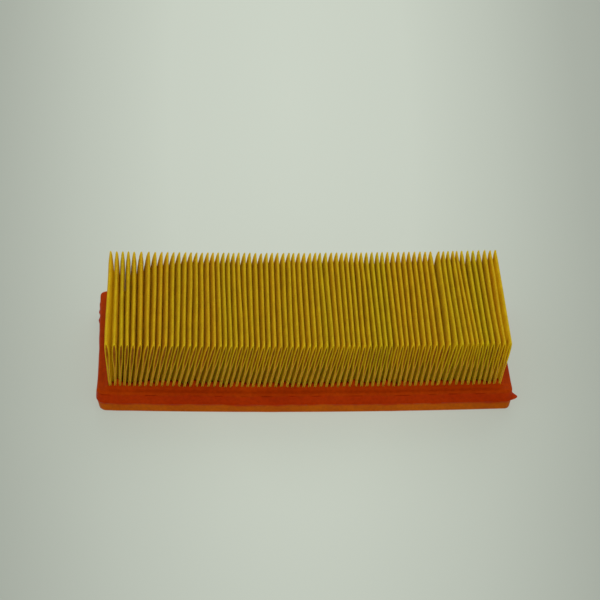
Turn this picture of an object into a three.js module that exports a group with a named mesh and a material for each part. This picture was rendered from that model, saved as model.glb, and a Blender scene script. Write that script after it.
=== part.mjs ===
// Panel air filter: a cast polyurethane frame around a pleated paper pack.
// Millimetres, +Z up. +X runs along the frame, +Y across it.
// The origin is the centre of the frame's underside.
// The filter lies with its frame down, so the dirty-air side of the pack, with its free folds, points up.

import * as THREE from "three";

// Driving dimensions
const FRAME_LENGTH = 280; // over the parting-line flash
const FRAME_WIDTH = 101;
const FRAME_HEIGHT = 18;
const OVERALL_HEIGHT = 59;
const FRAME_CORNER_RADIUS = 5.5;
const WINDOW_CORNER_RADIUS = 0.8;
const CORNER_DIVISIONS = 3;

// The frame's outer wall, as distances in from the flash: first beside the flash, then after the
// wall's draft, where the rounded shoulder starts, then half round it, then at the flat face
const UPPER_WALL_INSETS = [0.7, 1.1, 1.4, 2.2];
const LOWER_WALL_INSETS = [0.7, 2.1, 2.5, 3.4];
const SHOULDER_HEIGHT = 1.3;
const SHOULDER_MIDDLE_HEIGHT = 0.4;
const FLASH_HALF_THICKNESS = 0.2;
const FLASH_ROOT_HALF_THICKNESS = 0.5;

const PLEAT_COUNT = 71;
const PLEAT_PITCH = 3.74;
const MEDIA_WIDTH = 90; // length of each fold, along Y
const MEDIA_BOTTOM = 4; // height of the lower folds above the frame's underside
const PAPER_THICKNESS = 0.5;
const FOLD_HALF_WIDTH = 0.55; // from a fold's middle to the middle of the paper beside it

const CLEARANCE = 0.3;
const LEDGE_DEPTH = 3; // how far the frame's underside reaches in under the pack
const LEDGE_HEIGHT = 2.4;

const SEAL_DEPTH = 2.6; // of the glue inside each fold's end, along Y
const SEAL_BAR_HEIGHT = 1;
const SEAL_TOP_DROP = 6; // from the fold's inside down to the top of the glue
const SEAL_CLEARANCE = 0.2; // from the glue to the paper on each side of it
const THREAD_RADIUS = 0.75;
const THREAD_SPACING = 22;
const THREAD_END_GAP = 1.5; // from a thread's end to the frame's ledge
const THREAD_SIDES = 8;

// Sizes that follow from them
const FIRST_FOLD_X = (-PLEAT_PITCH * (PLEAT_COUNT - 1)) / 2;
const OUTER_FOLD_HALF_WIDTH = FOLD_HALF_WIDTH + PAPER_THICKNESS / 2;
const INNER_FOLD_HALF_WIDTH = FOLD_HALF_WIDTH - PAPER_THICKNESS / 2;
const PACK_HALF_LENGTH = -FIRST_FOLD_X + PLEAT_PITCH / 2 + OUTER_FOLD_HALF_WIDTH;
const WINDOW_HALF_LENGTH = PACK_HALF_LENGTH + CLEARANCE;
const WINDOW_HALF_WIDTH = MEDIA_WIDTH / 2 + CLEARANCE;

const polyurethane = new THREE.MeshStandardMaterial({ color: 0xb8441a, roughness: 0.55, metalness: 0 });
const filterPaper = new THREE.MeshStandardMaterial({ color: 0xc9a02c, roughness: 0.9, metalness: 0 });
const hotMelt = new THREE.MeshStandardMaterial({ color: 0xd9cfa8, roughness: 0.4, metalness: 0 });

// The free folds lean towards +X, because nothing spaces them: upright at the -X end,
// most a quarter of the way along, and less again towards the +X end.
const LEAN_RISE = 8.9;
const LEAN_RISE_SHARE = 0.09;
const LEAN_FALL = 5.9;
const LEAN_START = -0.95;

function leanAtFold(x) {
  const share = (x - FIRST_FOLD_X) / (-2 * FIRST_FOLD_X);
  const clamped = THREE.MathUtils.clamp(share, 0, 1);
  return LEAN_START + LEAN_RISE * (1 - Math.exp(-clamped / LEAN_RISE_SHARE)) - LEAN_FALL * clamped;
}

// Moves each vertex above the frame along X, in proportion to its height over the frame.
function leanOver(geometry) {
  const position = geometry.getAttribute("position");
  for (let i = 0; i < position.count; i++) {
    const rise = Math.max(0, position.getZ(i) - FRAME_HEIGHT) / (OVERALL_HEIGHT - FRAME_HEIGHT);
    const x = position.getX(i);
    const halfPitch = PLEAT_PITCH / 2;
    const nearestFold = FIRST_FOLD_X + Math.round((x - FIRST_FOLD_X) / halfPitch) * halfPitch;
    position.setX(i, x + rise * leanAtFold(nearestFold));
  }
  return geometry;
}

// The same outline with a point added wherever it crosses the frame's top, where the folds start to lean.
function splitAtFrameTop(outline) {
  return outline.flatMap((point, i) => {
    const next = outline[(i + 1) % outline.length];
    const below = point.y < FRAME_HEIGHT;
    if (below === next.y < FRAME_HEIGHT) return [point];
    return [point, point.clone().lerp(next, (FRAME_HEIGHT - point.y) / (next.y - point.y))];
  });
}

// Extrudes an outline drawn in the X-Z plane along Y, between two values of Y.
function extrudeAcross(outline, yFrom, yTo) {
  const points = outline.map(([x, z]) => new THREE.Vector2(x, z));
  const geometry = new THREE.ExtrudeGeometry(new THREE.Shape(splitAtFrameTop(points)), {
    depth: yTo - yFrom,
    bevelEnabled: false,
  });
  geometry.rotateX(Math.PI / 2);
  geometry.translate(0, yTo, 0);
  return geometry;
}

function roundedRectangle(halfLength, halfWidth, radius) {
  const outline = new THREE.Path();
  const x = halfLength - radius;
  const y = halfWidth - radius;
  outline.absarc(x, y, radius, 0, Math.PI / 2);
  outline.absarc(-x, y, radius, Math.PI / 2, Math.PI);
  outline.absarc(-x, -y, radius, Math.PI, 1.5 * Math.PI);
  outline.absarc(x, -y, radius, 1.5 * Math.PI, 2 * Math.PI);
  return outline.getPoints(CORNER_DIVISIONS);
}

// A closed ring of solid, through rounded rectangles given in order round its cross-section.
function ringThrough(stations) {
  const rings = stations.map(({ halfLength, halfWidth, radius }) =>
    roundedRectangle(halfLength, halfWidth, radius),
  );
  const around = rings[0].length;
  const vertices = rings.flatMap((ring, k) => ring.flatMap((p) => [p.x, p.y, stations[k].z]));
  const triangles = [];
  for (let k = 0; k < rings.length; k++) {
    const next = (k + 1) % rings.length;
    for (let j = 0; j < around; j++) {
      const a = k * around + j;
      const b = k * around + ((j + 1) % around);
      const c = next * around + ((j + 1) % around);
      const d = next * around + j;
      triangles.push(a, b, c, a, c, d);
    }
  }
  const geometry = new THREE.BufferGeometry();
  geometry.setAttribute("position", new THREE.Float32BufferAttribute(vertices, 3));
  geometry.setIndex(triangles);
  return geometry;
}

// Frame: the outer wall leans in above and below the flash that the mould's parting line leaves.
// The inside is a straight window for the pack, over a ledge that carries the pack's edges.
function frameGeometry() {
  const outer = (inset, z) => ({
    halfLength: FRAME_LENGTH / 2 - inset,
    halfWidth: FRAME_WIDTH / 2 - inset,
    radius: FRAME_CORNER_RADIUS - inset,
    z,
  });
  const inner = (inset, z) => ({
    halfLength: WINDOW_HALF_LENGTH - inset,
    halfWidth: WINDOW_HALF_WIDTH - inset,
    radius: WINDOW_CORNER_RADIUS,
    z,
  });
  const flashZ = FRAME_HEIGHT / 2;
  const upper = UPPER_WALL_INSETS;
  const lower = LOWER_WALL_INSETS;
  return ringThrough([
    outer(lower[3], 0),
    outer(lower[2], SHOULDER_MIDDLE_HEIGHT),
    outer(lower[1], SHOULDER_HEIGHT),
    outer(lower[0], flashZ - FLASH_ROOT_HALF_THICKNESS),
    outer(0, flashZ - FLASH_HALF_THICKNESS),
    outer(0, flashZ + FLASH_HALF_THICKNESS),
    outer(upper[0], flashZ + FLASH_ROOT_HALF_THICKNESS),
    outer(upper[1], FRAME_HEIGHT - SHOULDER_HEIGHT),
    outer(upper[2], FRAME_HEIGHT - SHOULDER_MIDDLE_HEIGHT),
    outer(upper[3], FRAME_HEIGHT),
    inner(0, FRAME_HEIGHT),
    inner(0, LEDGE_HEIGHT),
    inner(LEDGE_DEPTH, LEDGE_HEIGHT),
    inner(LEDGE_DEPTH, 0),
  ]);
}

// Paper pack: one sheet folded up and down, drawn as the outline of its cut edge.
function mediaGeometry() {
  const top = OVERALL_HEIGHT;
  const bottom = MEDIA_BOTTOM;
  const dirtySide = [];
  const cleanSide = [];
  const lowerFold = (x) => {
    dirtySide.push([x - INNER_FOLD_HALF_WIDTH, bottom + PAPER_THICKNESS]);
    dirtySide.push([x + INNER_FOLD_HALF_WIDTH, bottom + PAPER_THICKNESS]);
    cleanSide.push([x - OUTER_FOLD_HALF_WIDTH, bottom], [x + OUTER_FOLD_HALF_WIDTH, bottom]);
  };
  const upperFold = (x) => {
    dirtySide.push([x - OUTER_FOLD_HALF_WIDTH, top], [x + OUTER_FOLD_HALF_WIDTH, top]);
    cleanSide.push([x - INNER_FOLD_HALF_WIDTH, top - PAPER_THICKNESS]);
    cleanSide.push([x + INNER_FOLD_HALF_WIDTH, top - PAPER_THICKNESS]);
  };
  lowerFold(FIRST_FOLD_X - PLEAT_PITCH / 2);
  for (let i = 0; i < PLEAT_COUNT; i++) {
    const x = FIRST_FOLD_X + i * PLEAT_PITCH;
    upperFold(x);
    lowerFold(x + PLEAT_PITCH / 2);
  }
  const outline = [...dirtySide.reverse(), ...cleanSide];
  return leanOver(extrudeAcross(outline, -MEDIA_WIDTH / 2, MEDIA_WIDTH / 2));
}

// Edge seal: the glue that closes one end of every fold, a tapered tooth inside each on a bar below them all.
function edgeSealGeometry(yFrom, yTo) {
  const barTop = MEDIA_BOTTOM - CLEARANCE;
  const barHalfLength = PACK_HALF_LENGTH - PLEAT_PITCH / 2;
  const slotBottom = PLEAT_PITCH / 2 - OUTER_FOLD_HALF_WIDTH;
  const slotTop = INNER_FOLD_HALF_WIDTH;
  const toothTop = OVERALL_HEIGHT - PAPER_THICKNESS - SEAL_TOP_DROP;
  const slotHeight = OVERALL_HEIGHT - PAPER_THICKNESS - MEDIA_BOTTOM;
  const slotAt = (z) => THREE.MathUtils.lerp(slotBottom, slotTop, (z - MEDIA_BOTTOM) / slotHeight);
  const footHalfWidth = slotAt(MEDIA_BOTTOM) - SEAL_CLEARANCE;
  const topHalfWidth = slotAt(toothTop) - SEAL_CLEARANCE;
  const outline = [
    [-barHalfLength, barTop - SEAL_BAR_HEIGHT],
    [barHalfLength, barTop - SEAL_BAR_HEIGHT],
    [barHalfLength, barTop],
  ];
  for (let i = PLEAT_COUNT - 1; i >= 0; i--) {
    const x = FIRST_FOLD_X + i * PLEAT_PITCH;
    outline.push([x + footHalfWidth, barTop], [x + topHalfWidth, toothTop]);
    outline.push([x - topHalfWidth, toothTop], [x - footHalfWidth, barTop]);
  }
  outline.push([-barHalfLength, barTop]);
  return leanOver(extrudeAcross(outline, yFrom, yTo));
}

// Glue thread: a bead laid along X under the lower folds, which keeps their spacing.
function threadGeometry() {
  const length = 2 * (WINDOW_HALF_LENGTH - LEDGE_DEPTH - THREAD_END_GAP);
  const geometry = new THREE.CylinderGeometry(THREAD_RADIUS, THREAD_RADIUS, length, THREAD_SIDES);
  geometry.rotateZ(Math.PI / 2);
  geometry.rotateX(Math.PI / THREAD_SIDES);
  return geometry;
}

function addMesh(group, name, geometry, material) {
  const mesh = new THREE.Mesh(geometry, material);
  mesh.name = name;
  group.add(mesh);
  return mesh;
}

const airFilter = new THREE.Group();

addMesh(airFilter, "frame", frameGeometry(), polyurethane);

const pack = new THREE.Group();
airFilter.add(pack);
addMesh(pack, "pleated_media", mediaGeometry(), filterPaper);

const edge = MEDIA_WIDTH / 2 - CLEARANCE;
addMesh(pack, "edge_seal_front", edgeSealGeometry(-edge, -edge + SEAL_DEPTH), hotMelt);
addMesh(pack, "edge_seal_rear", edgeSealGeometry(edge - SEAL_DEPTH, edge), hotMelt);

["glue_thread_front", "glue_thread_middle", "glue_thread_rear"].forEach((name, i) => {
  const thread = addMesh(pack, name, threadGeometry(), hotMelt);
  thread.position.set(0, (i - 1) * THREAD_SPACING, MEDIA_BOTTOM - CLEARANCE - THREAD_RADIUS);
});

export default airFilter;
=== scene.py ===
# Looks of the panel air filter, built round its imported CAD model. Metres, +Z up.
import math

import bpy
import numpy as np
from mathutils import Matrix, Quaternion, Vector


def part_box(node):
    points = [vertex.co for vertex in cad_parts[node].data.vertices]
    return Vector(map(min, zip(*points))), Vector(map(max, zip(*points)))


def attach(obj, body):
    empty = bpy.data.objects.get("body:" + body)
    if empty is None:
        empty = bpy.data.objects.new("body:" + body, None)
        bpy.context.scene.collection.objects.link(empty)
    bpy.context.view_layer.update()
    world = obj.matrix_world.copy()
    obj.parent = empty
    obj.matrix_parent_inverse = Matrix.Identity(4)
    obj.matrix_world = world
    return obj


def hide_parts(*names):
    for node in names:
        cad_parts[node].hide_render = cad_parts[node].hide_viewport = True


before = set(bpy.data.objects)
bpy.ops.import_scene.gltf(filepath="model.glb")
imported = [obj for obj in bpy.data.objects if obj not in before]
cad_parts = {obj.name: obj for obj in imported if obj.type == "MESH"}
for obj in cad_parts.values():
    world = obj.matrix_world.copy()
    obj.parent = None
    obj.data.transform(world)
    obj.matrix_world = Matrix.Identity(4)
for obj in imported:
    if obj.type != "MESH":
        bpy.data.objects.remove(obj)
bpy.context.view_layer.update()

MM = 0.001
BODY = "root"

# What the CAD model settles
frame_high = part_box("frame")[1]
media_low, media_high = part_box("pleated_media")
seal_low, seal_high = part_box("edge_seal_front")
HALF_LENGTH = frame_high.x
HALF_WIDTH = frame_high.y
FRAME_TOP = frame_high.z
MEDIA_BOTTOM = media_low.z
MEDIA_TOP = media_high.z
MEDIA_END = media_high.y
SEAL_TOP = seal_high.z
SEAL_BOTTOM = seal_low.z

# The pleats
PLEAT_COUNT = 71
PLEAT_PITCH = 3.74 * MM
FIRST_FOLD_X = -PLEAT_PITCH * (PLEAT_COUNT - 1) / 2
PAPER = 0.42 * MM
CREASE_RADIUS = 0.36 * MM  # to the middle of the paper
LEG_CLEARANCE = 0.03 * MM  # from a leg's paper to halfway to the next fold, at the least
UPPER_FILL = 0.80  # how much of its room a fold fills, away from its ends, just below the crease
LOWER_FILL = 0.90  # and lower down
CREASE_REACH = 2.7 * MM  # a fold opens out below its crease over about this height
FILL_REACH = 14 * MM  # and goes from its upper fill to its lower one over about this height
FOOT_REACH = 4 * MM  # its legs spread to the lower creases over about this height
GLUED_HALF_WIDTH = 0.56 * MM  # of a fold's end where glue pinches it
OPEN_END_FILL = 0.52  # how much of its room a fold's end fills above the glue
PINCH_REACH = 3.4 * MM  # how far in from a fold's end it is pinched
GLUE_TOP = 38 * MM  # up to here the glue lies flush with the paper's edges
GLUE_FADE = 7 * MM  # the pinch ends over this height below the glue's top, and as much above it

# The points of the sheet's mesh: round a crease, down a leg, and in from the paper's edges
CREASE_BENDS = np.radians([0, 22, 45, 68, 90])
LEG_SHARES = np.array([0.03, 0.08, 0.17, 0.3, 0.45, 0.6, 0.75, 0.9])
ROW_DEPTHS = np.array([0, 0.7, 1.6, 2.8, 4.4, 6.5, 10, 18, 30]) * MM

# The glue in the folds' ends, one tooth in each
GLUE_RECESS = 0.15 * MM  # from the paper's edges to the glue below its top
GLUE_SET_BACK = 4.2 * MM  # and above its top
GLUE_OPENING = (3 * MM, 4 * MM)  # it goes from one to the other this far below and above its top
GLUE_THICKNESS = 1.6 * MM
GLUE_CLIMB = 3.6 * MM  # how far it climbs past the CAD's seal, to close the fold's end
GLUE_BITE = 0.04 * MM  # how far it runs into the paper
GLUE_DISH = 0.12 * MM  # how far its face is hollowed
DISH_SHARE = 0.4  # how much of half its width the hollow takes up
TOOTH_LOW_LEVELS = (SEAL_BOTTOM + 1 * MM, 10 * MM, 18 * MM, 24 * MM, 30 * MM)
TOOTH_HIGH_LEVELS = np.array([-4, -2, 0, 2, 4, 8]) * MM  # from the glue's top

# The beads of glue along X
BEAD_SIDES = 12
BEAD_STEPS_PER_FOLD = 6
BEAD_BULGE = 0.1  # share of its width, between one lower fold and the next
BEAD_RIPPLE = 0.05  # share of its width, unevenly along its length
BEAD_DRIFT = 0.15 * MM
BEAD_TIP = 0.02  # the square of its narrowest share of its width, at its ends
SEAL_BAR_RISE = 0.7 * MM  # from the CAD seal's underside to the bar's middle
SEAL_BAR_HALF_SIZE = (1.2 * MM, 0.65 * MM)
THREAD_RISE = 0.1 * MM  # from the middle of the CAD's thread
THREAD_HALF_SIZE = (1.15 * MM, 0.68 * MM)

# Seeds
PLEAT_SEED = 71
SEAL_SEED = 5
THREAD_SEED = 20
FRAME_SEED = 280

# The frame's casting, seen from above
FRAME_CORNER_RADIUS = 5.5 * MM
LEAST_CORNER_RADIUS = 0.4 * MM
WINDOW_CORNER_RADIUS = 0.8 * MM
FOLD_SIDE = 1.5 * MM  # from an end fold's middle to the casting that hugs it
HUG = 0.1 * MM  # how far the casting runs into the folds' ends
WINDOW_GAP = 0.3 * MM  # from the pack to the casting's inner wall
PACK_END = 0.8 * MM  # how far the pack reaches past its end folds' room
LEDGE_DEPTH = 3 * MM
BOW = 2.6 * MM  # from the long sides' middle to their ends, along Y
BOW_LEVEL = 0.6  # nothing is moved where the square of x / HALF_LENGTH is this
RIGHT_HOLLOW = 2.4 * MM  # how far the short side at +X draws in at its middle
LEFT_HOLLOW = 1.0 * MM
LEFT_SWELL = 0.9 * MM  # how far the short side at -X stands out at its corners
HOLLOW_REACH = (6 * MM, 1 * MM)  # in from a short side: no hollow yet, and all of it

# The frame's section: heights, and insets from its widest outline
PARTING_Z = FRAME_TOP / 2
FOOT_INSET = 2.5 * MM  # of the underside's edge
FOOT_TOP = 1.2 * MM  # where the edge's rounding ends and the lower wall starts
LOWER_WALL_INSET = 1.4 * MM
LOWER_WALL_RUN = 0.75 * MM  # how far the lower wall comes out up to the parting line
END_DRAFT = 1.6  # the lower wall draws in this much more at the short sides than at the long ones
LOWER_WALL_TOP = 0.4 * MM  # from the parting line down
FLASH_INSET = 0.6 * MM
BESIDE_FLASH_INSET = 0.62 * MM
FLASH_EDGES = (-0.1 * MM, 0.04 * MM)  # the fin's underside and top, from the parting line
BESIDE_FLASH = (-0.3 * MM, 0.25 * MM)  # the walls below and above it
UPPER_WALL_INSET = 0.65 * MM
UPPER_WALL_RUN = 0.4 * MM  # how far the upper wall goes in up to the groove
UPPER_WALL_TOP = 2.6 * MM  # from the frame's top down
GROOVE_DROP = 2.1 * MM  # from the frame's top to the groove's middle
GROOVE_FLOOR = 0.15 * MM  # from the groove's middle to its floor's edges
GROOVE_SIDE = 0.35 * MM  # and to the wall beside it
GROOVE_DEPTH = 0.7 * MM
GROOVE_GAPS = 0.35  # there is no groove where its wave is below this
GROOVE_INSETS = (1.05 * MM, 1.07 * MM)  # of the wall at the groove and just above it
SHOULDER_DROP = 1.6 * MM  # from the frame's top to where its shoulder starts
SHOULDER_INSETS = (1.1 * MM, 2.4 * MM)
LEDGE_HEIGHT = 2.4 * MM
LEDGE_SOFTENING = 0.3 * MM
OPENING_CHAMFER = 0.4 * MM
INNER_WALL_DROP = 1 * MM  # from the frame's top to the top of its inner wall
MENISCUS = 2.4 * MM  # how far the casting climbs the paper
MENISCUS_REACH = 0.9 * MM
MENISCUS_WAVE = 0.1
CASTING_WAVE = 0.10 * MM  # how uneven the walls and the top are
EVEN_BELOW = 0.5 * MM  # the walls are even below this height
TOP_SHARES = (0.25, 0.45, 0.6, 0.72, 0.82, 0.9, 0.96, 1)  # across the top, closer near the paper

# The flash on the parting line: a thin uneven fin, in mm, and the tabs left on it
FLASH_WIDTH = 0.16
FLASH_WAVE = 0.12
FLASH_LIMITS = (0.03, 0.5)
TAB_SHARPNESS = 1.3
TABS = (  # x, y, how far it reaches along the edge, and how far it stands out
    (HALF_LENGTH, 4.5 * MM - HALF_WIDTH, 5 * MM, 3.6 * MM),
    (-HALF_LENGTH, HALF_WIDTH - 14 * MM, 3.5 * MM, 0.8 * MM),
    (-HALF_LENGTH, HALF_WIDTH - 22 * MM, 3.5 * MM, 0.8 * MM),
)

# The casting that has crept in between the folds' ends
WEB_DEPTHS = np.array([-0.25, 0.4, 1.8, 3.6, 6.0]) * MM  # in from the pack's face
WEB_RISES = np.array([0.45, 0.85, 1.1, 0.9, 0.1])  # share of its height at each depth
WEB_SECTION = ((0, 0.5 * MM), (0.2, 0.1 * MM), (0.5, -0.15 * MM), (0.8, 0.1 * MM), (1, 0.5 * MM))
WEB_BOTTOM = FRAME_TOP - 1.5 * MM
WEB_LIMITS = (-0.2, 2.6)  # how much higher a web is than the meniscus, in mm
TALL_WEB_SHARE = 0.15
TALL_WEB_RISE = 1.8 * MM  # how much higher than the rest a tall web is

# The materials' tones, darker and lighter
# The casting's tones by height: its top is painted duller and a little darker, as painted shade under the
# standing pack. Its lower wall is painted brighter and more orange, as painted light thrown up from the
# floor.
POLYURETHANE_TOP_PAINTED_SHADE = ((0.45, 0.038, 0.0006), (0.53, 0.052, 0.0008))
POLYURETHANE_WALL = ((0.47, 0.029, 0.0006), (0.53, 0.038, 0.0008))
POLYURETHANE_LOWER_PAINTED_BOUNCE = ((0.53, 0.092, 0.0008), (0.60, 0.120, 0.0010))
POLYURETHANE_PORES = ((0.86, 0.84, 0.84), (1, 1, 1))
POLYURETHANE_ROUGHNESS = ((0.42,) * 3, (0.58,) * 3)
POLYURETHANE_SHINE = (1.0, 0.45, 0.05, 1)
# The painted bounce light on the lower wall fades out between these two heights, and the painted shade on
# the top fades in between the next two
PAINTED_BOUNCE_ENDS = (6.5 * MM, 8.5 * MM)
PAINTED_TOP_SHADE_STARTS = (15 * MM, 17 * MM)
TONE_WAVER = 5 * MM  # the line between two tones wanders within this height
# From the greenest folds to the reddest
PAPER_FOLD_TONES = ((0.96, 0.88, 0.030), (0.99, 0.86, 0.032), (1.0, 0.83, 0.036))
PAPER_STAINS = ((0.95, 0.92, 0.85), (1, 1, 1))
PAPER_FIBRES = ((0.90, 0.86, 0.80), (1, 1, 1))
PAPER_LETS_THROUGH = 0.78  # of the light that falls on it
GLUE_TONES = ((0.52, 0.20, 0.010), (0.64, 0.27, 0.016))
GLUE_SHINE = (1.0, 0.8, 0.35, 1)

# The studio
FLOOR_TINT = (0.93, 1.0, 0.875)
# A painted pool of light: the floor's brightness by the distance from its brighter middle, which is long
# along Y
FLOOR_BRIGHTNESS = ((0.0, 1.0), (0.09, 0.96), (0.154, 0.83), (0.217, 0.67), (0.27, 0.60))
FLOOR_SHIFT = (0.005, -0.06, 0)
FLOOR_STRETCH = (1, 0.22, 0)
FLOOR_GLOW = 0.46
FLOOR_DIFFUSE = (0.24,) * 3
FLOOR_HALF_SIZE = 3.0
FLOOR_DROP = 0.1 * MM  # keeps it out of the plane of the frame's underside
WORLD_COLOUR = (0.97, 1.0, 0.97, 1)
WORLD_STRENGTH = 0.6
# Name, place, size and power
LIGHTS = (("key", (0.16, 0.8, 1.0), 0.8, 3.4), ("fill", (0.1, -1.0, 0.9), 0.9, 0.4))
CAMERA_DISTANCE = 2.046
CAMERA_ELEVATION = math.radians(45)
CAMERA_AZIMUTH = math.radians(-2.12)
CAMERA_ROLL = math.radians(1.17)
CAMERA_AIM = (-3.5 * MM, 40.4 * MM)  # right of the origin and above it, as the camera sees them
HALF_IMAGE = 300  # pixels
FOCAL_LENGTH = 2993.7  # pixels


def bow(x):
    """How far the casting and all it holds is bent along Y, at x."""
    return BOW * ((x / HALF_LENGTH) ** 2 - BOW_LEVEL)


def smooth_step(value, start, end):
    """0 up to start and 1 from end on, with a smooth rise between."""
    t = np.clip((value - start) / (end - start), 0, 1)
    return t * t * (3 - 2 * t)


def wave(t, rng, lowest, highest, count=9):
    """Smooth seeded noise of about unit size along t, which runs from 0 to 1 and joins up with itself."""
    total = np.zeros_like(t)
    for turns in rng.integers(lowest, highest, count):
        total = total + rng.normal() * np.cos(2 * np.pi * (turns * t + rng.random()))
    return total / math.sqrt(count / 2)


def make_mesh(name, vertices, faces, material, sharp_degrees=40):
    """A smooth-shaded mesh object, with its edges sharp where they turn by more than sharp_degrees."""
    mesh = bpy.data.meshes.new(name)
    mesh.from_pydata(vertices.tolist(), [], faces)
    mesh.validate()
    mesh.shade_smooth()
    mesh.set_sharp_from_angle(angle=math.radians(sharp_degrees))
    mesh.materials.append(material)
    piece = bpy.data.objects.new(name, mesh)
    bpy.context.scene.collection.objects.link(piece)
    return piece


def add_piece(name, vertices, faces, material, node, sharp_degrees=40):
    """A visible piece that rides on the body and stands for one CAD node."""
    piece = make_mesh(name, vertices, faces, material, sharp_degrees)
    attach(piece, BODY)
    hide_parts(node)
    return piece


def flipped(faces):
    return [tuple(reversed(face)) for face in faces]


def grid_faces(rows, columns, start=0, close_rows=False, close_columns=False):
    """Quads over a grid of vertices, rows by columns, joined end to end where asked."""
    row_count = rows if close_rows else rows - 1
    column_count = columns if close_columns else columns - 1
    faces = []
    for r in range(row_count):
        for c in range(column_count):
            a = start + r * columns + c
            b = start + r * columns + (c + 1) % columns
            d = start + ((r + 1) % rows) * columns + c
            e = start + ((r + 1) % rows) * columns + (c + 1) % columns
            faces.append((a, b, e, d))
    return faces


def slab_faces(rows, columns, start=0):
    """The faces of a thin slab: a grid of vertices, the same grid again for its other side, and its rim."""
    count = rows * columns
    faces = grid_faces(rows, columns, start)
    faces += [tuple(count + i for i in reversed(face)) for face in faces]
    rim = [c for c in range(columns)] + [r * columns + columns - 1 for r in range(1, rows)]
    rim += [(rows - 1) * columns + c for c in range(columns - 2, -1, -1)]
    rim += [r * columns for r in range(rows - 2, 0, -1)]
    for a, b in zip(rim, rim[1:] + rim[:1]):
        faces.append((start + b, start + a, start + count + a, start + count + b))
    return faces


def tube_faces(rings, points, start):
    """The faces of a closed tube: rings of points, and a cap at each end."""
    faces = grid_faces(rings, points, start, close_columns=True)
    faces.append(tuple(start + i for i in reversed(range(points))))
    last = start + (rings - 1) * points
    faces.append(tuple(last + i for i in range(points)))
    return faces


# ---------------------------------------------------------------- materials


def new_material(name):
    material = bpy.data.materials.new(name)
    material.use_nodes = True
    tree = material.node_tree
    shader = tree.nodes["Principled BSDF"]
    return material, tree, shader


def add_noise(tree, scale, detail=3, stretch=(1, 1, 1)):
    """A noise texture in the object's own coordinates, scaled per metre, stretched along the axes."""
    coordinates = tree.nodes.new("ShaderNodeTexCoord")
    mapping = tree.nodes.new("ShaderNodeMapping")
    mapping.inputs["Scale"].default_value = stretch
    noise = tree.nodes.new("ShaderNodeTexNoise")
    noise.inputs["Scale"].default_value = scale
    noise.inputs["Detail"].default_value = detail
    tree.links.new(coordinates.outputs["Object"], mapping.inputs["Vector"])
    tree.links.new(mapping.outputs["Vector"], noise.inputs["Vector"])
    return noise.outputs["Fac"]


def add_ramp(tree, value, positions, colours):
    """The colours at those positions of value, and an even change from one to the next."""
    ramp = tree.nodes.new("ShaderNodeValToRGB")
    elements = ramp.color_ramp.elements
    while len(elements) < len(colours):
        elements.new(0.5)
    for element, position, colour in zip(elements, positions, colours):
        element.position = position
        element.color = (*colour, 1)
    tree.links.new(value, ramp.inputs["Fac"])
    return ramp.outputs["Color"]


def add_mix(tree, kind, factor, a, b):
    """Colours a and b mixed: each of the three is a value, or the output of a node."""
    mix = tree.nodes.new("ShaderNodeMix")
    mix.data_type = "RGBA"
    mix.blend_type = kind
    if isinstance(factor, float):
        mix.inputs["Factor"].default_value = factor
    else:
        tree.links.new(factor, mix.inputs["Factor"])
    for socket, value in (("A", a), ("B", b)):
        if isinstance(value, tuple):
            mix.inputs[socket].default_value = (*value, 1)
        else:
            tree.links.new(value, mix.inputs[socket])
    return mix.outputs["Result"]


def add_bump(tree, shader, height, strength, distance, before=None):
    """A bump on the shader, on top of the bump before it where there is one."""
    bump = tree.nodes.new("ShaderNodeBump")
    bump.inputs["Strength"].default_value = strength
    bump.inputs["Distance"].default_value = distance
    tree.links.new(height, bump.inputs["Height"])
    if before is not None:
        tree.links.new(before.outputs["Normal"], bump.inputs["Normal"])
    tree.links.new(bump.outputs["Normal"], shader.inputs["Normal"])
    return bump


def add_height(tree, from_z, to_z):
    """0 below from_z and 1 above to_z, in the object's own coordinates, along an uneven line."""
    coordinates = tree.nodes.new("ShaderNodeTexCoord")
    split = tree.nodes.new("ShaderNodeSeparateXYZ")
    ramp = tree.nodes.new("ShaderNodeMapRange")
    ramp.inputs["From Min"].default_value = from_z + TONE_WAVER / 2
    ramp.inputs["From Max"].default_value = to_z + TONE_WAVER / 2
    uneven = tree.nodes.new("ShaderNodeMath")
    uneven.operation = "MULTIPLY_ADD"
    uneven.inputs[1].default_value = TONE_WAVER
    tree.links.new(add_noise(tree, scale=60, detail=3, stretch=(1, 1, 0)), uneven.inputs[0])
    tree.links.new(coordinates.outputs["Object"], split.inputs["Vector"])
    tree.links.new(split.outputs["Z"], uneven.inputs[2])
    tree.links.new(uneven.outputs["Value"], ramp.inputs["Value"])
    return ramp.outputs["Result"]


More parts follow.
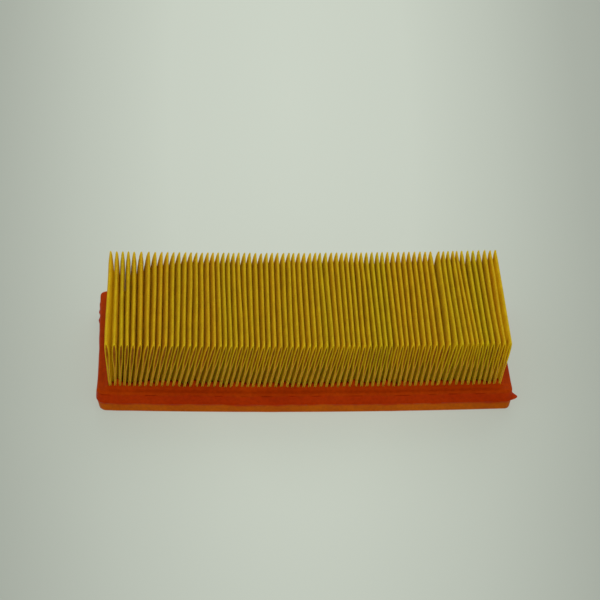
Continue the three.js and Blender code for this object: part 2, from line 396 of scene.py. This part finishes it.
def polyurethane_material():
    material, tree, shader = new_material("polyurethane")
    clouds = add_noise(tree, scale=38, detail=4)
    mottle = add_noise(tree, scale=420, detail=4)
    # Three copies of the casting's colour: the top with painted shade, the wall, and the lower wall with
    # painted light from the floor, mixed by height
    top, wall, lower = [
        add_ramp(tree, clouds, (0.36, 0.66), tones)
        for tones in (POLYURETHANE_TOP_PAINTED_SHADE, POLYURETHANE_WALL, POLYURETHANE_LOWER_PAINTED_BOUNCE)
    ]
    colour = add_mix(tree, "MIX", add_height(tree, *PAINTED_BOUNCE_ENDS), lower, wall)
    colour = add_mix(tree, "MIX", add_height(tree, *PAINTED_TOP_SHADE_STARTS), colour, top)
    pores = add_ramp(tree, mottle, (0.35, 0.62), POLYURETHANE_PORES)
    colour = add_mix(tree, "MULTIPLY", 1.0, colour, pores)
    tree.links.new(colour, shader.inputs["Base Color"])
    roughness = add_ramp(tree, mottle, (0.3, 0.7), POLYURETHANE_ROUGHNESS)
    tree.links.new(roughness, shader.inputs["Roughness"])
    shader.inputs["Specular IOR Level"].default_value = 0.05
    shader.inputs["Specular Tint"].default_value = POLYURETHANE_SHINE
    lumps = add_noise(tree, scale=260, detail=3)
    coarse = add_bump(tree, shader, lumps, strength=0.2, distance=0.3 * MM)
    grain = add_noise(tree, scale=2600, detail=2)
    add_bump(tree, shader, grain, strength=0.3, distance=0.05 * MM, before=coarse)
    return material


def paper_material():
    material, tree, shader = new_material("filter_paper")
    tone = tree.nodes.new("ShaderNodeAttribute")
    tone.attribute_name = "fold_tone"
    colour = add_ramp(tree, tone.outputs["Fac"], (0.0, 0.5, 1.0), PAPER_FOLD_TONES)
    clouds = add_noise(tree, scale=120, detail=4)
    stain = add_ramp(tree, clouds, (0.3, 0.6), PAPER_STAINS)
    colour = add_mix(tree, "MULTIPLY", 1.0, colour, stain)
    fibres = add_noise(tree, scale=1500, detail=4, stretch=(1, 0.35, 1))
    flecks = add_ramp(tree, fibres, (0.34, 0.56), PAPER_FIBRES)
    colour = add_mix(tree, "MULTIPLY", 1.0, colour, flecks)
    tree.links.new(colour, shader.inputs["Base Color"])
    shader.inputs["Roughness"].default_value = 0.8
    shader.inputs["Specular IOR Level"].default_value = 0.5
    waviness = add_noise(tree, scale=500, detail=3)
    coarse = add_bump(tree, shader, waviness, strength=0.25, distance=0.15 * MM)
    bump = add_bump(tree, shader, fibres, strength=0.4, distance=0.05 * MM, before=coarse)

    # Thin paper lets light from behind through
    through = tree.nodes.new("ShaderNodeBsdfTranslucent")
    tree.links.new(colour, through.inputs["Color"])
    tree.links.new(bump.outputs["Normal"], through.inputs["Normal"])
    both = tree.nodes.new("ShaderNodeMixShader")
    both.inputs["Fac"].default_value = PAPER_LETS_THROUGH
    tree.links.new(shader.outputs["BSDF"], both.inputs[1])
    tree.links.new(through.outputs["BSDF"], both.inputs[2])
    tree.links.new(both.outputs["Shader"], tree.nodes["Material Output"].inputs["Surface"])
    return material


def glue_material():
    material, tree, shader = new_material("hot_melt_glue")
    clouds = add_noise(tree, scale=300, detail=3)
    colour = add_ramp(tree, clouds, (0.35, 0.65), GLUE_TONES)
    tree.links.new(colour, shader.inputs["Base Color"])
    shader.inputs["Roughness"].default_value = 0.42
    shader.inputs["Specular IOR Level"].default_value = 0.35
    shader.inputs["Specular Tint"].default_value = GLUE_SHINE
    shader.inputs["Subsurface Weight"].default_value = 0.15
    shader.inputs["Subsurface Radius"].default_value = (1.2, 0.7, 0.3)
    shader.inputs["Subsurface Scale"].default_value = 1 * MM
    ripples = add_noise(tree, scale=900, detail=2)
    add_bump(tree, shader, ripples, strength=0.25, distance=0.1 * MM)
    return material


polyurethane = polyurethane_material()
filter_paper = paper_material()
hot_melt = glue_material()

# ---------------------------------------------------------------- the pleats

FOLD_NUMBERS = np.arange(PLEAT_COUNT)
pleat_rng = np.random.default_rng(PLEAT_SEED)
fold_share = FOLD_NUMBERS / (PLEAT_COUNT - 1)


def settled_noise(size):
    """Noise from fold to fold, in which neighbours partly follow each other."""
    raw = pleat_rng.normal(size=PLEAT_COUNT + 2)
    return size * (0.25 * raw[:-2] + 0.75 * raw[1:-1] + 0.25 * raw[2:])


def bunch(centre, spread, shift):
    """A group of folds pushed together one way: shift is the push, in mm, at the group's middle."""
    return shift * np.exp(-(((FOLD_NUMBERS - centre) / spread) ** 2))


# Where the folds stand, in mm along X from an even spacing: their feet in the casting, then their crests
# at the pack's near end and far end. They are nearly upright at the -X end and lean most about a fifth
# of the way along.
foot_shift = -2.0 + bunch(0, 2.5, 2.6) + bunch(11, 5.5, -1.1) + bunch(20, 2, 0.5)
foot_shift += bunch(46, 5.5, 1.4) + bunch(65, 4, 1.8) + settled_noise(0.12)
near_shift = -1.2 + 5.1 * (1 - np.exp(-fold_share / 0.03)) + 6.7 * fold_share + bunch(63, 22, -6.6)
near_shift += bunch(4, 2, -1.8) + bunch(17, 4.6, 1.7) + bunch(39, 3.8, 0.9) + bunch(61, 3.9, 3.2)
far_shift = -0.4 + 15.2 * (1 - np.exp(-fold_share / 0.19)) - 16.3 * fold_share
far_shift += bunch(70, 2.5, 1.2) + bunch(3.5, 2.3, -1.6) + bunch(22, 5.3, -1.9)
far_shift += bunch(31, 6.2, -1.4) + bunch(48, 9.4, -1.9)

# One fold stands away from the fold before it, at the far end only
PARTED_FOLD = 59
folds_on = FOLD_NUMBERS - PARTED_FOLD
parting = np.where(folds_on >= 0, 1.9 * np.exp(-np.clip(folds_on, 0, None) / 3), 0)
far_shift += parting + bunch(63.5, 1.2, -1.0)

fold_x = FIRST_FOLD_X + FOLD_NUMBERS * PLEAT_PITCH + foot_shift * MM
crest_lean = (np.stack([near_shift, far_shift]) - foot_shift) * MM
crest_lean += np.stack([settled_noise(0.2), settled_noise(0.2)]) * MM
crest_drop = np.abs(settled_noise(0.22)) * MM
crest_sway = settled_noise(0.2) * MM
glue_top = GLUE_TOP + settled_noise(2.2) * MM
fold_tone = np.clip(0.5 + settled_noise(0.22), 0, 1)


def fold_middle(fold, z, y):
    """The x of a fold's middle plane at height z and place y across the pack."""
    across = np.clip((y + MEDIA_END) / (2 * MEDIA_END), 0, 1)
    lean = crest_lean[0, fold] * (1 - across) + crest_lean[1, fold] * across
    lean = lean + crest_sway[fold] * np.sin(np.pi * across * 2 + fold)
    return fold_x[fold] + lean * np.clip((z - FRAME_TOP) / (MEDIA_TOP - FRAME_TOP), 0, None)


def fold_room(fold, sign, z, y):
    """Half the way from a fold's middle to the next fold's, on one side."""
    beside = fold + sign
    if not 0 <= beside < PLEAT_COUNT:
        return PLEAT_PITCH / 2 + 0 * z
    return np.abs(fold_middle(beside, z, y) - fold_middle(fold, z, y)) / 2


def leg_offset(fold, sign, z, y, top):
    """How far the middle of a fold's leg stands from the fold's middle, below the crease."""
    room = fold_room(fold, sign, z, y)
    below_top = np.clip(top - CREASE_RADIUS - z, 0, None)
    opening = 1 - np.exp(-below_top / CREASE_REACH)
    foot = np.exp(-np.clip(z - MEDIA_BOTTOM - CREASE_RADIUS, 0, None) / FOOT_REACH)
    filled = UPPER_FILL + (LOWER_FILL - UPPER_FILL) * (1 - np.exp(-below_top / FILL_REACH))
    free = CREASE_RADIUS + (room * filled - CREASE_RADIUS) * opening
    above_glue = smooth_step(z, glue_top[fold] - GLUE_FADE, glue_top[fold] + GLUE_FADE)
    glued = GLUED_HALF_WIDTH + (room * OPEN_END_FILL - GLUED_HALF_WIDTH) * above_glue
    glued = CREASE_RADIUS + (glued - CREASE_RADIUS) * opening
    pinch = np.exp(-(((MEDIA_END - np.abs(y)) / PINCH_REACH) ** 2))
    offset = free + (glued - free) * pinch
    offset = offset + (room - CREASE_RADIUS - offset) * foot
    return np.minimum(offset, room - PAPER / 2 - LEG_CLEARANCE)


def media_centreline(y):
    """Points (x, z) along the folded sheet's middle, in the plane at y, with each point's fold."""
    top_offsets = CREASE_RADIUS * np.sin(CREASE_BENDS)
    drops = CREASE_RADIUS * (1 - np.cos(CREASE_BENDS))
    bottom = MEDIA_BOTTOM + PAPER / 2
    points = []
    folds = []
    for fold in range(PLEAT_COUNT):
        top = MEDIA_TOP - PAPER / 2 - crest_drop[fold]
        leg_z = top - CREASE_RADIUS - LEG_SHARES * (top - bottom - 2 * CREASE_RADIUS)
        half_z = np.concatenate([top - drops, leg_z, (bottom + drops)[::-1]])
        middle = fold_middle(fold, half_z, y)
        sides = []
        for sign in (-1, 1):
            legs = leg_offset(fold, sign, leg_z, y, top)
            lower = fold_room(fold, sign, bottom + drops[::-1], y) - top_offsets[::-1]
            offsets = np.concatenate([top_offsets, legs, lower])
            sides.append(np.stack([middle + sign * offsets, half_z], 1))
        left, right = sides[0][::-1], sides[1][1:]
        if fold > 0:
            left = left[1:]
        points.append(np.concatenate([left, right]))
        folds.append(np.full(len(left) + len(right), fold))
    return np.concatenate(points), np.concatenate(folds)


def build_media():
    """The folded sheet, and its length when flat."""
    stations = np.concatenate([-MEDIA_END + ROW_DEPTHS, [0.0], (MEDIA_END - ROW_DEPTHS)[::-1]])
    sides = [[], []]
    for y in stations:
        line, folds = media_centreline(y)
        along = np.gradient(line, axis=0)
        along /= np.linalg.norm(along, axis=1, keepdims=True)
        normal = np.stack([-along[:, 1], along[:, 0]], 1)
        for side, sign in zip(sides, (1, -1)):
            x, z = (line + sign * normal * PAPER / 2).T
            side.append(np.stack([x, y + bow(x), z], 1))
    rows, columns = len(stations), len(line)
    vertices = np.array(sides).reshape(-1, 3)
    faces = slab_faces(rows, columns)
    media = add_piece("paper_pack", vertices, faces, filter_paper, "pleated_media")
    tone = media.data.attributes.new("fold_tone", "FLOAT", "POINT")
    tone.data.foreach_set("value", np.tile(fold_tone[folds], 2 * rows).astype(np.float32))
    length = float(np.linalg.norm(np.diff(line, axis=0), axis=1).sum())
    return media, length


media, media_length = build_media()

# ---------------------------------------------------------------- the glue


def glue_tooth(fold, end, start):
    """Glue inside one end of one fold: flush with the paper's edge low down, and set back above."""
    high_levels = TOOTH_HIGH_LEVELS + glue_top[fold]
    levels = np.concatenate([TOOTH_LOW_LEVELS, high_levels, [SEAL_TOP + GLUE_CLIMB]])
    below, above = GLUE_OPENING
    opened = smooth_step(levels, glue_top[fold] - below, glue_top[fold] + above)
    set_back = GLUE_RECESS + (GLUE_SET_BACK - GLUE_RECESS) * opened
    vertices = []
    for z, back in zip(levels, set_back):
        front = MEDIA_END - back
        dished = front - GLUE_DISH
        inner = front - GLUE_THICKNESS
        section = [(-1, front), (-DISH_SHARE, dished), (DISH_SHARE, dished), (1, front)]
        section += [(1, inner), (-1, inner)]
        for side, depth in section:
            y = end * depth
            width = leg_offset(fold, int(np.sign(side)), z, y, MEDIA_TOP) - PAPER / 2 + GLUE_BITE
            x = fold_middle(fold, z, y) + side * width
            vertices.append((x, y + bow(x), z))
    faces = tube_faces(len(levels), len(section), start)
    return np.array(vertices), flipped(faces) if end > 0 else faces


def glue_bead(x_from, x_to, y, z, half_size, start, rng):
    """A flattened bead along X that bulges between one lower fold and the next."""
    half_width, half_height = half_size
    length = x_to - x_from
    steps = int(length / (PLEAT_PITCH / BEAD_STEPS_PER_FOLD))
    x = np.linspace(x_from, x_to, steps)
    t = (x - x_from) / length
    bulge = BEAD_BULGE * np.cos(2 * np.pi * (x - FIRST_FOLD_X) / PLEAT_PITCH)
    swell = 1 + bulge + BEAD_RIPPLE * wave(t, rng, 3, 40)
    swell *= np.sqrt(np.clip(np.minimum(t, 1 - t) * length / half_width, BEAD_TIP, 1))
    drift = BEAD_DRIFT * wave(t, rng, 1, 9)
    angles = 2 * np.pi * np.arange(BEAD_SIDES) / BEAD_SIDES
    vertices = np.zeros((steps, BEAD_SIDES, 3))
    vertices[:, :, 0] = x[:, None]
    vertices[:, :, 1] = (y + bow(x) + drift)[:, None] + np.outer(swell, half_width * np.cos(angles))
    vertices[:, :, 2] = z + np.outer(swell, half_height * np.sin(angles))
    return vertices.reshape(-1, 3), flipped(tube_faces(steps, BEAD_SIDES, start))


def build_seal(name, node, end):
    """A tooth in every fold at one end of the pack, and the bar of glue under them."""
    rng = np.random.default_rng(SEAL_SEED + end)
    vertices, faces = [], []
    start = 0
    for fold in range(PLEAT_COUNT):
        tooth, tooth_faces = glue_tooth(fold, end, start)
        vertices.append(tooth)
        faces += tooth_faces
        start += len(tooth)
    low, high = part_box(node)
    middle = (low.y + high.y) / 2
    bar_z = low.z + SEAL_BAR_RISE
    bar, bar_faces = glue_bead(low.x, high.x, middle, bar_z, SEAL_BAR_HALF_SIZE, start, rng)
    vertices.append(bar)
    faces += bar_faces
    add_piece(name, np.concatenate(vertices), faces, hot_melt, node)


def build_thread(name, node, seed):
    rng = np.random.default_rng(seed)
    low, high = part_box(node)
    y = (low.y + high.y) / 2
    z = (low.z + high.z) / 2 + THREAD_RISE
    vertices, faces = glue_bead(low.x, high.x, y, z, THREAD_HALF_SIZE, 0, rng)
    add_piece(name, vertices, faces, hot_melt, node)


build_seal("end_glue_front", "edge_seal_front", -1)
build_seal("end_glue_rear", "edge_seal_rear", 1)
for seed, place in enumerate(("front", "middle", "rear"), start=THREAD_SEED):
    build_thread("thread_bead_" + place, "glue_thread_" + place, seed)

# ---------------------------------------------------------------- the frame

RING_STEP = 1 * MM
CORNER_STEPS = 12
LONG_STEPS = int(2 * (HALF_LENGTH - FRAME_CORNER_RADIUS) / RING_STEP)
SHORT_STEPS = int(2 * (HALF_WIDTH - FRAME_CORNER_RADIUS) / RING_STEP)


def ring(half_length, half_width, radius):
    """A rounded rectangle, always with the same number of points, and the outward direction at each."""
    points, outward = [], []
    signs = [(1, 1), (-1, 1), (-1, -1), (1, -1)]
    for quarter, (sx, sy) in enumerate(signs):
        angles = np.radians(np.linspace(quarter * 90, quarter * 90 + 90, CORNER_STEPS + 1))
        directions = np.stack([np.cos(angles), np.sin(angles)], 1)
        centre = np.array([sx * (half_length - radius), sy * (half_width - radius)])
        corner = centre + radius * directions
        after_x, after_y = signs[(quarter + 1) % 4]
        next_centre = np.array([after_x * (half_length - radius), after_y * (half_width - radius)])
        next_corner = next_centre + radius * directions[-1]
        steps = LONG_STEPS if quarter % 2 == 0 else SHORT_STEPS
        shares = (np.arange(1, steps) / steps)[:, None]
        side = corner[-1] + shares * (next_corner - corner[-1])
        points += [corner, side]
        outward += [directions, np.repeat(directions[-1:], steps - 1, 0)]
    return np.concatenate(points), np.concatenate(outward)


def flash_width(points, rng):
    """How far the flash stands out: a thin uneven fin, with a tab left at one corner and two small ones."""
    t = np.linspace(0, 1, len(points), endpoint=False)
    width = np.clip(FLASH_WIDTH + FLASH_WAVE * wave(t, rng, 5, 60), *FLASH_LIMITS) * MM
    for x, y, reach, height in TABS:
        distance = np.hypot(points[:, 0] - x, points[:, 1] - y)
        width += height * np.clip(1 - distance / reach, 0, None) ** TAB_SHARPNESS
    return width


def arc(inset_from, z_from, inset_to, z_to, steps, level_first):
    """Points (inset, z) round a shoulder, a quarter of an ellipse."""
    angles = np.radians(np.linspace(0, 90, steps + 1))
    if level_first:
        share_inset, share_z = np.sin(angles), 1 - np.cos(angles)
    else:
        share_inset, share_z = 1 - np.cos(angles), np.sin(angles)
    insets = inset_from + (inset_to - inset_from) * share_inset
    return list(zip(insets, z_from + (z_to - z_from) * share_z))


def outer_section(fin, groove):
    """The frame's section from its underside up to its top, as (inset, z, how far it is pushed out)."""
    still = 0 * fin
    section = [(*point, still) for point in arc(FOOT_INSET, 0, LOWER_WALL_INSET, FOOT_TOP, 4, True)]
    rise = PARTING_Z - LOWER_WALL_TOP - FOOT_TOP
    for share in (0.25, 0.5, 0.75):
        section.append((LOWER_WALL_INSET - LOWER_WALL_RUN * share, FOOT_TOP + share * rise, still))
    section += [
        (BESIDE_FLASH_INSET, PARTING_Z + BESIDE_FLASH[0], still),
        (FLASH_INSET, PARTING_Z + FLASH_EDGES[0], fin),
        (FLASH_INSET, PARTING_Z + FLASH_EDGES[1], fin),
        (BESIDE_FLASH_INSET, PARTING_Z + BESIDE_FLASH[1], still),
    ]
    rise = FRAME_TOP - PARTING_Z - UPPER_WALL_TOP
    for share in (0.2, 0.5, 0.8):
        section.append((UPPER_WALL_INSET + UPPER_WALL_RUN * share, PARTING_Z + share * rise, still))
    groove_z = FRAME_TOP - GROOVE_DROP
    at_groove, above_groove = GROOVE_INSETS
    section += [
        (at_groove, groove_z - GROOVE_SIDE, still),
        (at_groove, groove_z - GROOVE_FLOOR, -groove),
        (at_groove, groove_z + GROOVE_FLOOR, -groove),
        (above_groove, groove_z + GROOVE_SIDE, still),
    ]
    start, end = SHOULDER_INSETS
    shoulder = arc(start, FRAME_TOP - SHOULDER_DROP, end, FRAME_TOP, 5, False)
    return section + [(*point, still) for point in shoulder]


def build_frame():
    """The casting: one ring of points for each point of its section, then the webs between the folds."""
    rng = np.random.default_rng(FRAME_SEED)
    base, outward = ring(HALF_LENGTH, HALF_WIDTH, FRAME_CORNER_RADIUS)
    t = np.linspace(0, 1, len(base), endpoint=False)
    wall_wave = CASTING_WAVE * wave(t, rng, 2, 30)
    top_wave = CASTING_WAVE * wave(t, rng, 2, 40)
    fin = flash_width(base, rng)
    groove = np.clip(wave(t, rng, 6, 50) - GROOVE_GAPS, 0, 1) * GROOVE_DEPTH
    climb = MENISCUS * (1 + MENISCUS_WAVE * wave(t, rng, 10, 160, 20))
    stations = []
    for inset, z, push in outer_section(fin, groove):
        draft = END_DRAFT if z < PARTING_Z else 1
        radius = max(FRAME_CORNER_RADIUS - inset, LEAST_CORNER_RADIUS)
        points, _ = ring(HALF_LENGTH - inset * draft, HALF_WIDTH - inset, radius)
        points = points + outward * (push + wall_wave * (z > EVEN_BELOW))[:, None]
        height = z + top_wave * smooth_step(z, PARTING_Z, FRAME_TOP)
        stations.append(np.column_stack([points, height]))

    # Across the top to the paper, which the casting climbs
    pack_ends = (fold_x[0] - FOLD_SIDE, fold_x[-1] + FOLD_SIDE)
    edge = stations[-1]
    hugging, _ = ring((pack_ends[1] - pack_ends[0]) / 2, MEDIA_END - HUG, WINDOW_CORNER_RADIUS)
    hugging[:, 0] += sum(pack_ends) / 2
    gap = np.linalg.norm(edge[:, :2] - hugging, axis=1)
    for share in TOP_SHARES:
        points = edge[:, :2] * (1 - share) + hugging * share
        climbed = climb * np.exp(-gap * (1 - share) / MENISCUS_REACH)
        stations.append(np.column_stack([points, edge[:, 2] + climbed]))

    # Down beside the pack, in under it along the ledge, and down through the opening in the underside
    inner_length = -FIRST_FOLD_X + PLEAT_PITCH / 2 + PACK_END + WINDOW_GAP
    inner_width = MEDIA_END + WINDOW_GAP
    for inset, z in (
        (0, FRAME_TOP - INNER_WALL_DROP),
        (0, LEDGE_HEIGHT),
        (LEDGE_DEPTH, LEDGE_HEIGHT),
        (LEDGE_DEPTH, LEDGE_HEIGHT - LEDGE_SOFTENING),
        (LEDGE_DEPTH, OPENING_CHAMFER),
        (LEDGE_DEPTH - OPENING_CHAMFER, 0),
    ):
        points, _ = ring(inner_length - inset, inner_width - inset, WINDOW_CORNER_RADIUS)
        stations.append(np.column_stack([points, np.full(len(points), z)]))

    vertices = np.array(stations)
    rows, columns = vertices.shape[:2]
    faces = flipped(grid_faces(rows, columns, close_rows=True, close_columns=True))
    all_vertices = [vertices.reshape(-1, 3)]
    start = rows * columns
    for end in (-1, 1):
        for fold in range(PLEAT_COUNT - 1):
            web, web_faces = casting_web(fold, end, start, rng)
            all_vertices.append(web)
            faces += web_faces
            start += len(web)
    vertices = bent(np.concatenate(all_vertices))
    add_piece("cast_frame", vertices, faces, polyurethane, "frame", 50)


def bent(vertices):
    """The casting as it has settled: hollow at its short sides, and its long sides bent."""
    x, y, z = vertices.T
    depth, full_depth = HOLLOW_REACH
    at_end = smooth_step(np.abs(x), HALF_LENGTH - depth, HALF_LENGTH - full_depth)
    hollow = np.where(x > 0, RIGHT_HOLLOW, LEFT_HOLLOW) * (1 - (y / HALF_WIDTH) ** 2)
    x = x + np.where(x > 0, -hollow, hollow - LEFT_SWELL) * at_end
    return np.column_stack([x, y + bow(x), z])


def casting_web(fold, end, start, rng):
    """Casting that has crept in between the ends of two folds, highest near the pack's face."""
    height = MENISCUS + rng.uniform(*WEB_LIMITS) * MM
    height += (rng.random() < TALL_WEB_SHARE) * TALL_WEB_RISE
    tops, bottoms = [], []
    for depth, rise in zip(WEB_DEPTHS, WEB_RISES * height):
        y = end * (MEDIA_END - depth)
        z = FRAME_TOP + rise
        left = fold_middle(fold, z, y) + leg_offset(fold, 1, z, y, MEDIA_TOP)
        right = fold_middle(fold + 1, z, y) - leg_offset(fold + 1, -1, z, y, MEDIA_TOP)
        for share, lift in WEB_SECTION:
            x = left + share * (right - left)
            tops.append((x, y, z + lift))
            bottoms.append((x, y, WEB_BOTTOM))
    faces = slab_faces(len(WEB_DEPTHS), len(WEB_SECTION), start)
    return np.array(tops + bottoms), flipped(faces) if end > 0 else faces


build_frame()

# ---------------------------------------------------------------- floor, light and camera


def build_floor():
    """A pale table, partly lit from within, so that what stands on it casts almost no shadow."""
    material, tree, shader = new_material("floor")
    coordinates = tree.nodes.new("ShaderNodeTexCoord")
    mapping = tree.nodes.new("ShaderNodeMapping")
    mapping.inputs["Location"].default_value = FLOOR_SHIFT
    mapping.inputs["Scale"].default_value = FLOOR_STRETCH
    distance = tree.nodes.new("ShaderNodeVectorMath")
    distance.operation = "LENGTH"
    tree.links.new(coordinates.outputs["Object"], mapping.inputs["Vector"])
    tree.links.new(mapping.outputs["Vector"], distance.inputs[0])
    distances, levels = zip(*FLOOR_BRIGHTNESS)
    tones = [tuple(part * level for part in FLOOR_TINT) for level in levels]
    # A painted pool of light: the floor's colour and its glow are brighter in its middle and darker towards
    # its edges
    colour = add_ramp(tree, distance.outputs["Value"], distances, tones)
    diffuse = add_mix(tree, "MULTIPLY", 1.0, colour, FLOOR_DIFFUSE)
    tree.links.new(diffuse, shader.inputs["Base Color"])
    tree.links.new(colour, shader.inputs["Emission Color"])
    shader.inputs["Emission Strength"].default_value = FLOOR_GLOW
    shader.inputs["Roughness"].default_value = 0.9
    shader.inputs["Specular IOR Level"].default_value = 0.0
    signs = ((-1, -1), (1, -1), (1, 1), (-1, 1))
    corners = np.array([(sx * FLOOR_HALF_SIZE, sy * FLOOR_HALF_SIZE, -FLOOR_DROP) for sx, sy in signs])
    floor = make_mesh("floor", corners, [(0, 1, 2, 3)], material)


def build_lights():
    """An even pale sky, a soft key light above and behind, and a faint fill from the camera's side."""
    world = bpy.data.worlds.new("studio")
    world.use_nodes = True
    background = world.node_tree.nodes["Background"]
    background.inputs["Color"].default_value = WORLD_COLOUR
    background.inputs["Strength"].default_value = WORLD_STRENGTH
    bpy.context.scene.world = world
    for name, place, size, power in LIGHTS:
        light = bpy.data.lights.new(name, "AREA")
        light.size = size
        light.energy = power
        lamp = bpy.data.objects.new(name, light)
        lamp.location = place
        lamp.rotation_euler = (-Vector(place)).to_track_quat("-Z", "Y").to_euler()
        bpy.context.scene.collection.objects.link(lamp)


def build_camera():
    azimuth, elevation = CAMERA_AZIMUTH, CAMERA_ELEVATION
    back = Vector((
        math.sin(azimuth) * math.cos(elevation),
        -math.cos(azimuth) * math.cos(elevation),
        math.sin(elevation),
    ))
    right = Vector((math.cos(azimuth), math.sin(azimuth), 0))
    up = back.cross(right)
    data = bpy.data.cameras.new("camera")
    data.sensor_width = 36
    data.angle = 2 * math.atan(HALF_IMAGE / FOCAL_LENGTH)
    camera = bpy.data.objects.new("camera", data)
    camera.location = back * CAMERA_DISTANCE
    target = right * CAMERA_AIM[0] + up * CAMERA_AIM[1]
    look = (target - camera.location).to_track_quat("-Z", "Y")
    camera.rotation_mode = "QUATERNION"
    camera.rotation_quaternion = look @ Quaternion((0, 0, 1), CAMERA_ROLL)
    bpy.context.scene.collection.objects.link(camera)
    bpy.context.scene.camera = camera


build_floor()
build_lights()
build_camera()
bpy.context.scene.view_settings.view_transform = "Standard"

bpy.context.view_layer.update()
